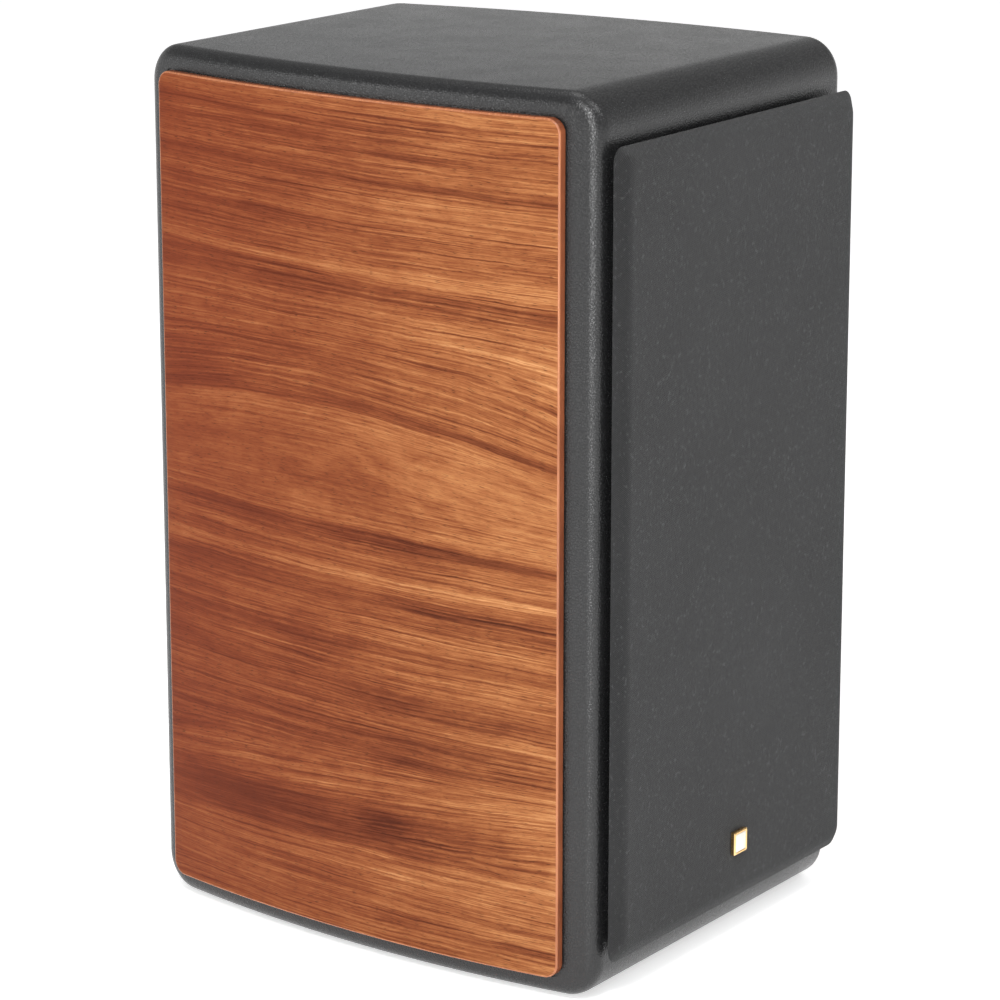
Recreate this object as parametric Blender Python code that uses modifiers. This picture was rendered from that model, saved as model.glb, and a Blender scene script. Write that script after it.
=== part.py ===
"""Two-way bookshelf speaker, modelled piece by piece.

A leatherette-wrapped cabinet with bowed sides carries two curved walnut panels, a cloth
grille on pegs, a cone woofer, a horn with a compression driver, a rear reflex port, a
crossover and a terminal cup. Metres, +Z up, the grille faces -Y, and the origin is on the
resting surface at the middle of the bounding box.
"""

import math

import bmesh
import bpy
from mathutils import Matrix

# Driving dimensions of the cabinet.
CABINET_HEIGHT = 0.540
CABINET_DEPTH = 0.3405
FOOT_HEIGHT = 0.0025
HALF_WIDTH_MIDDLE = 0.1420
SIDE_BOW = 0.0166
SIDE_TAPER = 0.0092
CORNER_RADIUS = 0.023
EDGE_ROUND = 0.009
SKIN = 0.0012
BOARD = 0.018
SIDE_BOARD = 0.015
GAP = 0.0003
RECESS_GAP = 0.0011

# Grille and badge.
GRILLE_WIDTH = 0.265
GRILLE_HEIGHT = 0.485
GRILLE_CENTRE = 0.270
GRILLE_STANDOFF = 0.0068
GRILLE_DEPTH = 0.0073
GRILLE_CHAMFER = 0.0079
GRILLE_LIP = 0.0008
GRILLE_CORNER = 0.0085
CLOTH = 0.0006
FRAME_BAR = 0.020
CROSS_BAR_Z = 0.306
CROSS_BAR_HALF = 0.0075
PEG_X = 0.108
PEG_RISE = 0.232
BADGE_SIDE = 0.0148
BADGE_THICK = 0.003
BADGE_Z = 0.068

# Walnut side panels.
PANEL_THICK = 0.0058
PANEL_FRONT_MARGIN = 0.0217
PANEL_REAR_MARGIN = 0.0149
PANEL_BOTTOM_MARGIN = 0.0130
PANEL_TOP_MARGIN = 0.0147
PANEL_CORNER = 0.009

# Drivers, port and terminals: heights of their axes above the resting surface.
WOOFER_Z = 0.1745
HORN_Z = 0.3995
PORT_Z = 0.400
CUP_Z = 0.150
WOOFER_RADIUS = 0.118
WOOFER_SCREW_CIRCLE = 0.111
HORN_RADIUS = 0.085
HORN_MOUTH = 0.072
HORN_THROAT = 0.0125
HORN_LENGTH = 0.080
HORN_SCREW_CIRCLE = 0.0785
FLANGE = 0.005
POST_SPACING = 0.038
REAR_FLANGE = 0.003
WOOFER_BORE = 0.105
HORN_BORE = 0.0725
PORT_BORE = 0.0362
SCREW_BORE = 0.0024
PEG_BORE = 0.0042
POST_BORE = 0.0034
WIRE_BORE = 0.0014

BOTTOM = FOOT_HEIGHT
TOP = BOTTOM + CABINET_HEIGHT
MIDDLE_Z = (BOTTOM + TOP) / 2
FRONT_STACK = GRILLE_STANDOFF + GRILLE_DEPTH + GAP + BADGE_THICK
REAR_STACK = GAP + REAR_FLANGE
FRONT_Y = FRONT_STACK - (FRONT_STACK + CABINET_DEPTH + REAR_STACK) / 2
REAR_Y = FRONT_Y + CABINET_DEPTH
MIDDLE_Y = (FRONT_Y + REAR_Y) / 2
CLADDING = SKIN + GAP
FRONT_BOARD_BACK = FRONT_Y + CLADDING + BOARD
REAR_BOARD_FRONT = REAR_Y - CLADDING - BOARD
FAR = 0.4

parts = None
cutters = None


# Scene and materials.


def clear_scene():
    for thing in list(bpy.data.objects):
        bpy.data.objects.remove(thing, do_unlink=True)


def collection(name):
    made = bpy.data.collections.new(name)
    bpy.context.scene.collection.children.link(made)
    return made


def material(name, colour, roughness, metallic=0.0):
    made = bpy.data.materials.new(name)
    made.use_nodes = True
    shader = made.node_tree.nodes["Principled BSDF"]
    shader.inputs["Base Color"].default_value = (*colour, 1.0)
    shader.inputs["Roughness"].default_value = roughness
    shader.inputs["Metallic"].default_value = metallic
    made.diffuse_color = (*colour, 1.0)
    return made


def make_materials():
    return {
        "leatherette": material("leatherette", (0.045, 0.045, 0.047), 0.5),
        "walnut": material("walnut", (0.42, 0.17, 0.07), 0.35),
        "board": material("fibreboard", (0.36, 0.25, 0.16), 0.8),
        "felt": material("felt", (0.5, 0.5, 0.48), 0.95),
        "cloth": material("grille_cloth", (0.06, 0.06, 0.06), 0.9),
        "black_plastic": material("black_plastic", (0.03, 0.03, 0.03), 0.45),
        "rubber": material("rubber", (0.02, 0.02, 0.02), 0.7),
        "brass": material("gold_plate", (0.85, 0.58, 0.25), 0.25, 1.0),
        "aluminium": material("cast_aluminium", (0.12, 0.12, 0.125), 0.5, 0.6),
        "steel": material("zinc_steel", (0.5, 0.5, 0.5), 0.35, 1.0),
        "ferrite": material("ferrite", (0.06, 0.06, 0.065), 0.6),
        "paper": material("cone_paper", (0.035, 0.035, 0.036), 0.85),
        "spider_cloth": material("spider_cloth", (0.65, 0.45, 0.15), 0.9),
        "titanium": material("titanium", (0.6, 0.6, 0.62), 0.3, 1.0),
        "copper": material("copper", (0.8, 0.35, 0.18), 0.3, 1.0),
        "circuit": material("circuit_board", (0.04, 0.2, 0.08), 0.5),
        "film": material("capacitor_film", (0.7, 0.25, 0.03), 0.4),
        "black_metal": material("black_screw", (0.03, 0.03, 0.03), 0.35, 0.8),
    }


# Modelling helpers.


def new_object(name, bm, finish=None, where=None):
    bmesh.ops.recalc_face_normals(bm, faces=bm.faces)
    mesh = bpy.data.meshes.new(name)
    bm.to_mesh(mesh)
    bm.free()
    made = bpy.data.objects.new(name, mesh)
    (where or parts).objects.link(made)
    if finish:
        mesh.materials.append(finish)
    return made


def as_cutter(thing):
    thing.hide_render = True
    thing.display_type = "WIRE"
    return thing


def box(name, low, high, finish=None):
    """An upright box between two corners; without a finish it is a cutter."""
    bm = bmesh.new()
    bmesh.ops.create_cube(bm, size=1.0)
    size = [h - l for l, h in zip(low, high)]
    middle = [(h + l) / 2 for l, h in zip(low, high)]
    bmesh.ops.scale(bm, vec=size, verts=bm.verts)
    bmesh.ops.translate(bm, vec=middle, verts=bm.verts)
    if finish:
        return new_object(name, bm, finish)
    return as_cutter(new_object(name, bm, None, cutters))


def rods(name, radius, y_low, y_high, centres, sides=12):
    """A cutter of round rods along Y, one at each (x, z)."""
    bm = bmesh.new()
    for x, z in centres:
        place = Matrix.Translation((x, (y_low + y_high) / 2, z)) @ Matrix.Rotation(math.pi / 2, 4, "X")
        bmesh.ops.create_cone(
            bm, cap_ends=True, segments=sides, radius1=radius, radius2=radius,
            depth=y_high - y_low, matrix=place,
        )
    return as_cutter(new_object(name, bm, None, cutters))


def boolean(target, other, operation):
    step = target.modifiers.new(other.name, "BOOLEAN")
    step.operation = operation
    step.object = other
    return target


def cut(target, *others):
    for other in others:
        boolean(target, other, "DIFFERENCE")
    return target


def keep(target, *others):
    for other in others:
        boolean(target, other, "INTERSECT")
    return target


def turned(name, profile, at, facing, finish, steps=32, closed=True):
    """A turned piece. The profile is (radius, height) in millimetres, height towards facing."""
    area = sum(
        r0 * h1 - r1 * h0
        for (r0, h0), (r1, h1) in zip(profile, profile[1:] + profile[:1])
    )
    points = profile[::-1] if area > 0 else profile
    bm = bmesh.new()
    verts = [bm.verts.new((r / 1000, 0, h / 1000)) for r, h in points]
    for first, second in zip(verts, verts[1:]):
        bm.edges.new((first, second))
    if closed:
        bm.edges.new((verts[-1], verts[0]))
    mesh = bpy.data.meshes.new(name)
    bm.to_mesh(mesh)
    bm.free()
    mesh.materials.append(finish)
    made = bpy.data.objects.new(name, mesh)
    parts.objects.link(made)
    screw = made.modifiers.new("turn", "SCREW")
    screw.axis = "Z"
    screw.angle = math.tau
    screw.steps = steps
    screw.render_steps = steps
    screw.use_merge_vertices = True
    screw.merge_threshold = 0.00001
    screw.use_smooth_shade = True
    tilt = {"front": math.pi / 2, "rear": -math.pi / 2, "up": 0.0}[facing]
    made.rotation_euler = (tilt, 0, 0)
    made.location = at
    return made


def ring_points(radius, count, start=0.0):
    """(x, z) offsets of evenly spaced points on a circle."""
    angles = [start + math.tau * k / count for k in range(count)]
    return [(radius * math.cos(a), radius * math.sin(a)) for a in angles]


def around(centre_z, offsets):
    return [(x, centre_z + z) for x, z in offsets]


# Cabinet geometry.


def half_width(y):
    """Half the cabinet's width at world y: bowed, and narrower at the rear."""
    t = 2 * (y - MIDDLE_Y) / CABINET_DEPTH
    return HALF_WIDTH_MIDDLE - SIDE_BOW * t * t - SIDE_TAPER * t


def side_chain(inset, corner_steps=5, run_steps=10):
    """(y, height above the middle) along the upper half of the cabinet's side outline."""
    radius = CORNER_RADIUS - inset
    half_depth = CABINET_DEPTH / 2 - inset
    half_height = CABINET_HEIGHT / 2 - inset
    centre_z = half_height - radius
    chain = []
    for k in range(corner_steps + 1):
        a = math.pi - math.pi / 2 * k / corner_steps
        chain.append((-half_depth + radius + radius * math.cos(a), centre_z + radius * math.sin(a)))
    for k in range(1, run_steps):
        chain.append((-(half_depth - radius) + 2 * (half_depth - radius) * k / run_steps, half_height))
    for k in range(corner_steps + 1):
        a = math.pi / 2 - math.pi / 2 * k / corner_steps
        chain.append((half_depth - radius + radius * math.cos(a), centre_z + radius * math.sin(a)))
    return [(MIDDLE_Y + y, z) for y, z in chain]


def cabinet_solid(name, inset, finish=None, edge_steps=3):
    """The cabinet's outer form, moved in by inset: a rounded belt lofted to two bowed cheeks."""
    edge = max(EDGE_ROUND - inset, 0.0015)
    bm = bmesh.new()
    loops = {}
    for side in (-1, 1):
        for step in range(edge_steps + 1):
            a = math.pi / 2 * step / edge_steps
            narrow = inset + edge * (1 - math.sin(a))
            chain = side_chain(inset + edge * (1 - math.cos(a)))
            outline = chain + [(y, -z) for y, z in reversed(chain)]
            loops[side, step] = [
                bm.verts.new((side * (half_width(y) - narrow), y, MIDDLE_Z + z)) for y, z in outline
            ]
    count = len(loops[1, 0])

    def bridge(first, second):
        for i in range(count):
            j = (i + 1) % count
            bm.faces.new((first[i], first[j], second[j], second[i]))

    bridge(loops[-1, 0], loops[1, 0])
    for side in (-1, 1):
        for step in range(edge_steps):
            bridge(loops[side, step], loops[side, step + 1])
        cheek = loops[side, edge_steps]
        for i in range(count // 2 - 1):
            bm.faces.new((cheek[i], cheek[i + 1], cheek[count - 2 - i], cheek[count - 1 - i]))
    if finish:
        return new_object(name, bm, finish)
    return as_cutter(new_object(name, bm, None, cutters))


def plan_prism(name, offset, y_steps=14):
    """A tall upright cutter whose plan is the cabinet's plan with its sides moved out by offset."""
    low, high = FRONT_Y - 0.03, REAR_Y + 0.03
    ys = [low + (high - low) * k / y_steps for k in range(y_steps + 1)]
    plan = [(half_width(y) + offset, y) for y in ys] + [(-half_width(y) - offset, y) for y in reversed(ys)]
    bm = bmesh.new()
    base = bm.faces.new([bm.verts.new((x, y, -FAR)) for x, y in plan])
    grown = bmesh.ops.extrude_face_region(bm, geom=[base])
    top = [v for v in grown["geom"] if isinstance(v, bmesh.types.BMVert)]
    bmesh.ops.translate(bm, vec=(0, 0, 3 * FAR), verts=top)
    return as_cutter(new_object(name, bm, None, cutters))


def woofer_screw_places():
    return around(WOOFER_Z, ring_points(WOOFER_SCREW_CIRCLE, 6, math.pi / 6))


def horn_screw_places():
    return around(HORN_Z, ring_points(HORN_SCREW_CIRCLE, 4, math.pi / 4))


def board_holes():
    """The cutters for everything that passes through the front and rear boards."""
    ahead, recess, through = FRONT_Y - 0.01, FRONT_Y + FLANGE + GAP, FRONT_Y + 0.03
    pilot, socket = FRONT_Y + 0.0175, FRONT_Y + 0.014
    behind, inside = REAR_Y + 0.01, REAR_Y - 0.04
    woofer_at, horn_at = [(0, WOOFER_Z)], [(0, HORN_Z)]
    return {
        "woofer_recess": rods("woofer_recess", WOOFER_RADIUS + RECESS_GAP, ahead, recess, woofer_at, 28),
        "woofer_bore": rods("woofer_bore", WOOFER_BORE, ahead, through, woofer_at, 28),
        "horn_recess": rods("horn_recess", HORN_RADIUS + RECESS_GAP, ahead, recess, horn_at, 24),
        "horn_bore": rods("horn_bore", HORN_BORE, ahead, through, horn_at, 24),
        "woofer_screw_holes": rods("woofer_screw_holes", SCREW_BORE, ahead, pilot, woofer_screw_places(), 8),
        "horn_screw_holes": rods("horn_screw_holes", SCREW_BORE, ahead, pilot, horn_screw_places(), 8),
        "peg_holes": rods("peg_holes", PEG_BORE, ahead, socket, peg_places(), 10),
        "port_hole": rods("port_hole", PORT_BORE, inside, behind, [(0, PORT_Z)], 24),
        "cup_hole": box("cup_hole", (-0.047, inside, CUP_Z - 0.032), (0.047, behind, CUP_Z + 0.032)),
    }


def peg_places():
    return [(x, GRILLE_CENTRE + z) for x in (-PEG_X, PEG_X) for z in (-PEG_RISE, PEG_RISE)]


def carcass(mats, holes):
    """Six boards under the wrap: two bowed cheeks and the belt of four boards between them."""
    inner = plan_prism("cheek_inner_face", -CLADDING - SIDE_BOARD)
    belt = plan_prism("belt_outline", -CLADDING - SIDE_BOARD - GAP)
    for name, side in (("left_side_board", -1), ("right_side_board", 1)):
        cheek = cabinet_solid(name, CLADDING, mats["board"])
        x_low, x_high = sorted((-side * FAR, side * 0.01))
        other_half = box(name + "_other_half", (x_low, -FAR, -FAR), (x_high, FAR, 2 * FAR))
        cut(cheek, inner, other_half)

    between = (FRONT_BOARD_BACK + GAP, REAR_BOARD_FRONT - GAP)
    slabs = {
        "front_baffle": ((-FAR, FRONT_BOARD_BACK), (-FAR, 2 * FAR)),
        "rear_board": ((REAR_BOARD_FRONT, FAR), (-FAR, 2 * FAR)),
        "top_board": (between, (TOP - CLADDING - BOARD, 2 * FAR)),
        "bottom_board": (between, (-FAR, BOTTOM + CLADDING + BOARD)),
    }
    boards = {}
    for name, ((y_low, y_high), (z_low, z_high)) in slabs.items():
        boards[name] = cabinet_solid(name, CLADDING, mats["board"])
        keep(boards[name], belt, box(name + "_slab", (-FAR, y_low, z_low), (FAR, y_high, z_high)))
    front_holes = ("woofer_recess", "woofer_bore", "horn_recess", "horn_bore",
                   "woofer_screw_holes", "horn_screw_holes", "peg_holes")
    cut(boards["front_baffle"], *[holes[name] for name in front_holes])
    cut(boards["rear_board"], holes["port_hole"], holes["cup_hole"])


def window_brace(mats):
    """A shelf between the drivers that ties the boards together, with one large window."""
    shelf_low, shelf_high = 0.296, 0.311
    rim = 0.035
    y_low, y_high = FRONT_BOARD_BACK + GAP, REAR_BOARD_FRONT - GAP
    brace = box("window_brace", (-FAR, y_low, shelf_low), (FAR, y_high, shelf_high), mats["board"])
    keep(brace, plan_prism("brace_outline", -CLADDING - SIDE_BOARD - GAP))
    window = box("brace_window", (-0.075, y_low + rim, 0.2), (0.075, y_high - rim, 0.4))
    cut(brace, window)


def leatherette_wrap(mats, holes):
    """The skin over the whole cabinet, open where the drivers, the port and the cup go through."""
    wrap = cabinet_solid("leatherette_wrap", 0.0, mats["leatherette"])
    cut(wrap, cabinet_solid("wrap_inside", SKIN))
    openings = ("woofer_recess", "horn_recess", "peg_holes", "port_hole", "cup_hole")
    cut(wrap, *[holes[name] for name in openings])


def rounded_outline(name, y_low, y_high, z_low, z_high, radius, x_low, x_high, corner_steps=4):
    """An upright plate with rounded corners in the YZ plane."""
    bm = bmesh.new()
    points = []
    corners = (
        (y_high - radius, z_high - radius, 0), (y_low + radius, z_high - radius, 90),
        (y_low + radius, z_low + radius, 180), (y_high - radius, z_low + radius, 270),
    )
    for cy, cz, start in corners:
        for k in range(corner_steps + 1):
            a = math.radians(start + 90 * k / corner_steps)
            points.append((cy + radius * math.cos(a), cz + radius * math.sin(a)))
    base = bm.faces.new([bm.verts.new((x_low, y, z)) for y, z in points])
    grown = bmesh.ops.extrude_face_region(bm, geom=[base])
    moved = [v for v in grown["geom"] if isinstance(v, bmesh.types.BMVert)]
    bmesh.ops.translate(bm, vec=(x_high - x_low, 0, 0), verts=moved)
    return bm


def walnut_panels(mats):
    inner = plan_prism("panel_inner_face", GAP)
    outer = plan_prism("panel_outer_face", PANEL_THICK)
    for name, side in (("left_walnut_panel", -1), ("right_walnut_panel", 1)):
        x_low, x_high = sorted((side * 0.11, side * 0.17))
        plate = rounded_outline(
            name, FRONT_Y + PANEL_FRONT_MARGIN, REAR_Y - PANEL_REAR_MARGIN,
            BOTTOM + PANEL_BOTTOM_MARGIN, TOP - PANEL_TOP_MARGIN, PANEL_CORNER, x_low, x_high,
        )
        panel = new_object(name, plate, mats["walnut"])
        cut(panel, inner)
        keep(panel, outer)


def feet(mats):
    profile = [(0, 2.2), (13, 2.2), (15, 1.6), (15, 0.4), (14, 0), (0, 0)]
    spots = {
        "foot_front_left": (-0.100, FRONT_Y + 0.045), "foot_front_right": (0.100, FRONT_Y + 0.045),
        "foot_rear_left": (-0.090, REAR_Y - 0.045), "foot_rear_right": (0.090, REAR_Y - 0.045),
    }
    for name, (x, y) in spots.items():
        turned(name, profile, (x, y, 0), "up", mats["rubber"], steps=12, closed=False)


def damping_pad(mats):
    """A polyester pad under the top board."""
    top = TOP - CLADDING - BOARD - GAP
    low = (-0.100, FRONT_BOARD_BACK + 0.02, top - 0.015)
    high = (0.100, REAR_BOARD_FRONT - 0.02, top)
    box("damping_pad", low, high, mats["felt"])


# Drivers.


def arc(centre_r, centre_h, radius, start, end, steps):
    """Profile points on a circular arc, angles in degrees from the outward radius."""
    angles = [math.radians(start + (end - start) * k / steps) for k in range(steps + 1)]
    return [(centre_r + radius * math.cos(a), centre_h + radius * math.sin(a)) for a in angles]


def woofer_basket(mats, holes, at):
    profile = [
        (118, 0), (118, -5), (104, -5), (104, -14), (64, -80), (64, -86), (40, -86), (40, -82),
        (60.5, -82), (60.5, -80), (72.6, -60), (66, -60), (66, -57.5), (74.1, -57.5),
        (100, -14.8), (100, -6.5), (97, -6.5), (97, -3), (104.5, -3), (104.5, 0),
    ]
    basket = turned("woofer_basket", profile, at, "front", mats["aluminium"], steps=28)
    window = bmesh.new()
    for k in range(6):
        place = (
            Matrix.Translation((0, FRONT_Y + 0.037, WOOFER_Z))
            @ Matrix.Rotation(math.tau * k / 6, 4, "Y")
            @ Matrix.Translation((0, 0, 0.105))
            @ Matrix.Diagonal((0.056, 0.034, 0.070, 1))
        )
        bmesh.ops.create_cube(window, size=1.0, matrix=place)
    windows = as_cutter(new_object("basket_windows", window, None, cutters))
    cut(basket, windows, holes["woofer_screw_holes"])


def woofer_suspension(mats, at):
    roll = arc(90, -2.7, 7.0, 0, 180, 6)
    roll_inside = arc(90, -2.7, 6.0, 180, 0, 5)
    surround = [(103.8, -1.7), *roll, (77.5, -1.7), (77.5, -2.7), *roll_inside, (103.8, -2.7)]
    turned("woofer_surround", surround, at, "front", mats["rubber"], steps=28)
    crest = []
    root = []
    for k in range(6):
        r = 24 + 8 * k
        wave = -1.6 * (-1) ** k
        crest.append((r, -56.2 + wave))
        root.append((r, -56.9 + wave))
    spider = [(20.2, -55.9), *crest, (71.5, -56.4), (71.5, -57.2), *reversed(root), (20.2, -56.9)]
    turned("woofer_spider", spider, at, "front", mats["spider_cloth"], steps=20)


def woofer_moving(mats, at):
    """The cone, its dust cap and the voice coil, which move together along the axis."""
    outer_r, outer_h, neck_r, neck_h, bend = 83.2, -3.1, 20.0, -50.0, 1.5
    front = []
    for k in range(6):
        t = k / 5
        r = outer_r + (neck_r - outer_r) * t
        front.append((r, outer_h + (neck_h - outer_h) * t ** bend))
    back = [(r, h - 1.2) for r, h in reversed(front)]
    turned("woofer_cone", front + back, at, "front", mats["paper"], steps=28)
    dome = arc(0, -70.0, 35.0, 90, 47, 5)
    dome_inside = [(r * 0.975, h - 0.9) for r, h in reversed(dome)]
    cap = [(0, dome[0][1]), *dome[1:], *dome_inside[:-1], (0, dome_inside[-1][1])]
    turned("woofer_dust_cap", cap, at, "front", mats["black_plastic"], steps=20, closed=False)
    coil = [(19.5, -48), (19.5, -84), (20.8, -84), (20.8, -100), (18.9, -100), (18.9, -48)]
    turned("woofer_voice_coil", coil, at, "front", mats["copper"], steps=20)


def woofer_motor(mats, at):
    top_plate = [(21.6, -86.3), (58, -86.3), (58, -94.3), (21.6, -94.3)]
    turned("woofer_top_plate", top_plate, at, "front", mats["steel"], steps=20)
    magnet = [(28, -94.6), (65, -94.6), (65, -114.6), (28, -114.6)]
    turned("woofer_magnet", magnet, at, "front", mats["ferrite"], steps=20)
    yoke = [(0, -86.5), (18, -86.5), (18, -114.9), (60, -114.9), (60, -122.9), (0, -122.9)]
    turned("woofer_yoke", yoke, at, "front", mats["steel"], steps=20, closed=False)


def screws(mats, stem, centres):
    """Button-head screws with a driver recess."""
    profile = [
        (0, 1.2), (1.6, 1.2), (1.6, 2.5), (3.4, 2.5), (4.2, 1.4), (4.2, GAP * 1000),
        (2, GAP * 1000), (2, -15), (0, -16.5),
    ]
    for number, (x, z) in enumerate(centres, 1):
        at = (x, FRONT_Y, z)
        turned(f"{stem}_{number}", profile, at, "front", mats["black_metal"], steps=8, closed=False)


def woofer(mats, holes):
    at = (0, FRONT_Y, WOOFER_Z)
    woofer_basket(mats, holes, at)
    woofer_suspension(mats, at)
    woofer_moving(mats, at)
    woofer_motor(mats, at)
    screws(mats, "woofer_screw", woofer_screw_places())


def horn_flare(mats, holes, at):
    """An exponential flare from the throat to the mouth, with a front flange and a rear flange."""
    mouth, throat, length = HORN_MOUTH * 1000, HORN_THROAT * 1000, HORN_LENGTH * 1000
    growth = math.log(mouth / throat) / length

    def flare(h):
        return throat * math.exp(growth * (h + length))

    heights = [-1 - (length - 1) * k / 8 for k in range(9)]
    inside = [(flare(h), h) for h in reversed(heights)]
    outside = [(flare(h) + 3.2, h) for h in heights if -77 < h < -6]
    rear = [(flare(-78) + 3.2, -78), (44, -78), (44, -84), (throat, -84)]
    rim = [(mouth + 2.5, 0), (HORN_RADIUS * 1000, 0), (HORN_RADIUS * 1000, -5), (flare(-5) + 3.2, -5)]
    profile = rim + outside + rear + inside
    flared = turned("horn_flare", profile, at, "front", mats["black_plastic"], steps=24)
    cut(flared, holes["horn_screw_holes"])


def compression_driver(mats, at):
    plate = [(12.5, -84.3), (40, -84.3), (40, -92.3), (12.5, -92.3)]
    turned("horn_driver_plate", plate, at, "front", mats["steel"], steps=16)
    dome = arc(0, -117.4, 24.0, 90, 37, 4)
    rim_h = dome[-1][1]
    underside = [(r, h - 0.6) for r, h in reversed(dome)]
    profile = [
        (0, dome[0][1]), *dome[1:], (22, rim_h),
        (22, rim_h - 0.6), *underside[:-1], (0, underside[-1][1]),
    ]
    turned("horn_diaphragm", profile, at, "front", mats["titanium"], steps=16, closed=False)
    magnet = [(24, -92.6), (45, -92.6), (45, -110.6), (24, -110.6)]
    turned("horn_magnet", magnet, at, "front", mats["ferrite"], steps=16)
    cap = [
        (0, -121), (36, -121), (39, -118), (39, -113), (25, -113), (25, -110.9),
        (42, -110.9), (42, -120), (38, -124), (0, -124),
    ]
    turned("horn_rear_cap", cap, at, "front", mats["black_plastic"], steps=16, closed=False)


def horn(mats, holes):
    at = (0, FRONT_Y, HORN_Z)
    horn_flare(mats, holes, at)
    compression_driver(mats, at)
    screws(mats, "horn_screw", horn_screw_places())


# Rear panel fittings.


def reflex_port(mats):
    """A tube with a flared mouth, glued into the rear board."""
    flange = (GAP + REAR_FLANGE) * 1000
    lip = arc(44, flange - 12, 12, 90, 180, 5)
    profile = [(48, flange), (48, GAP * 1000), (34.5, GAP * 1000), (34.5, -120), (32, -120), *reversed(lip)]
    turned("reflex_port", profile, (0, REAR_Y, PORT_Z), "rear", mats["black_plastic"], steps=24)


def terminal_cup(mats):
    """A flanged tub, with its posts through the floor."""
    flange_y = REAR_Y + GAP

    def block(name, half_x, y_low, y_high, half_z, finish=None):
        return box(name, (-half_x, y_low, CUP_Z - half_z), (half_x, y_high, CUP_Z + half_z), finish)

    cup = block("terminal_cup", 0.056, flange_y, flange_y + REAR_FLANGE, 0.042, mats["black_plastic"])
    tub = block("cup_tub", 0.046, REAR_Y - 0.0195, flange_y + 0.002, 0.031)
    hollow = block("cup_hollow", 0.0435, REAR_Y - 0.017, REAR_Y + 0.02, 0.0285)
    boolean(cup, tub, "UNION")
    posts = [(-POST_SPACING / 2, CUP_Z), (POST_SPACING / 2, CUP_Z)]
    cut(cup, hollow, rods("post_holes", POST_BORE, REAR_Y - 0.03, REAR_Y, posts, 12))
    wire_hole = bmesh.new()
    bmesh.ops.create_cone(
        wire_hole, cap_ends=True, segments=10, radius1=WIRE_BORE, radius2=WIRE_BORE, depth=0.06,
        matrix=Matrix.Translation((0, REAR_Y - 0.0125, CUP_Z)) @ Matrix.Rotation(math.pi / 2, 4, "Y"),
    )
    wire_cutter = as_cutter(new_object("post_wire_hole", wire_hole, None, cutters))

    stem = [(0, -14), (2, -14), (2, -2), (3, -2), (3, -19.8), (5.5, -19.8), (5.5, -24), (0, -24)]
    washer = [(3.4, -15.2), (8, -15.2), (8, -16.7), (3.4, -16.7)]
    nut = [(3.4, -0.4), (8, -0.4), (9, -1.4), (9, -12), (8, -14.9), (3.4, -14.9)]
    for name, x in (("positive", POST_SPACING / 2), ("negative", -POST_SPACING / 2)):
        at = (x, REAR_Y, CUP_Z)
        post = turned(f"{name}_post", stem, at, "rear", mats["brass"], steps=12, closed=False)
        cut(post, wire_cutter)
        turned(f"{name}_washer", washer, at, "rear", mats["brass"], steps=12)
        turned(f"{name}_nut", nut, at, "rear", mats["brass"], steps=16)


def crossover(mats):
    """The filter board on the bottom board, with its coils and capacitors."""
    floor = BOTTOM + CLADDING + BOARD + GAP
    y = REAR_Y - 0.120
    board_top = floor + 0.0016
    box("crossover_board", (-0.07, y - 0.05, floor), (0.07, y + 0.05, board_top), mats["circuit"])
    seat = board_top + GAP
    reel = [(10, 0), (27, 0), (27, 3), (24, 3), (24, 22), (27, 22), (27, 25), (10, 25)]
    turned("bass_inductor", reel, (-0.038, y - 0.015, seat), "up", mats["copper"], steps=14)
    small = [(r * 0.62, h * 0.7) for r, h in reel]
    turned("treble_inductor", small, (0.045, y - 0.028, seat), "up", mats["copper"], steps=14)
    for name, x, back, radius, length in (
        ("bass_capacitor", 0.015, y + 0.030, 10, 44), ("treble_capacitor", 0.030, y + 0.004, 7.5, 32),
    ):
        ends = [(0, length / 2), (radius - 1, length / 2), (radius, length / 2 - 1),
                (radius, 1 - length / 2), (radius - 1, -length / 2), (0, -length / 2)]
        can = turned(name, ends, (x, back, seat + radius / 1000), "up", mats["film"], steps=12, closed=False)
        can.rotation_euler = (0, math.pi / 2, 0)


# Grille.


def rounded_rectangle(half_x, half_z, radius, steps=3):
    """(x, z) points of a rectangle about the middle, with its corners rounded."""
    points = []
    for quarter, (sx, sz) in enumerate(((1, 1), (-1, 1), (-1, -1), (1, -1))):
        for k in range(steps + 1):
            a = math.pi / 2 * (quarter + k / steps)
            x = sx * (half_x - radius) + radius * math.cos(a)
            z = sz * (half_z - radius) + radius * math.sin(a)
            points.append((x, z))
    return points


def grille_block(name, inset, finish=None):
    """The grille's outer form moved in by inset: a short straight lip, then a chamfer to the flat front."""
    lean = math.atan2(GRILLE_CHAMFER, GRILLE_DEPTH - GRILLE_LIP)
    rear = FRONT_Y - GRILLE_STANDOFF
    lip = GRILLE_LIP - inset * math.tan(lean / 2)
    shrink = GRILLE_CHAMFER + inset * math.tan((math.pi / 2 - lean) / 2)
    rings = []
    bm = bmesh.new()
    for pulled_in, y in (
        (inset, rear if finish else rear + 0.01),
        (inset, rear - lip),
        (shrink, rear - GRILLE_DEPTH + inset),
    ):
        half_x, half_z = GRILLE_WIDTH / 2 - pulled_in, GRILLE_HEIGHT / 2 - pulled_in
        outline = rounded_rectangle(half_x, half_z, GRILLE_CORNER - inset)
        rings.append([bm.verts.new((x, y, GRILLE_CENTRE + z)) for x, z in outline])
    for first, second in zip(rings, rings[1:]):
        for i in range(len(first)):
            j = (i + 1) % len(first)
            bm.faces.new((first[i], first[j], second[j], second[i]))
    bm.faces.new(rings[0])
    bm.faces.new(rings[-1])
    if finish:
        return new_object(name, bm, finish)
    return as_cutter(new_object(name, bm, None, cutters))


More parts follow.
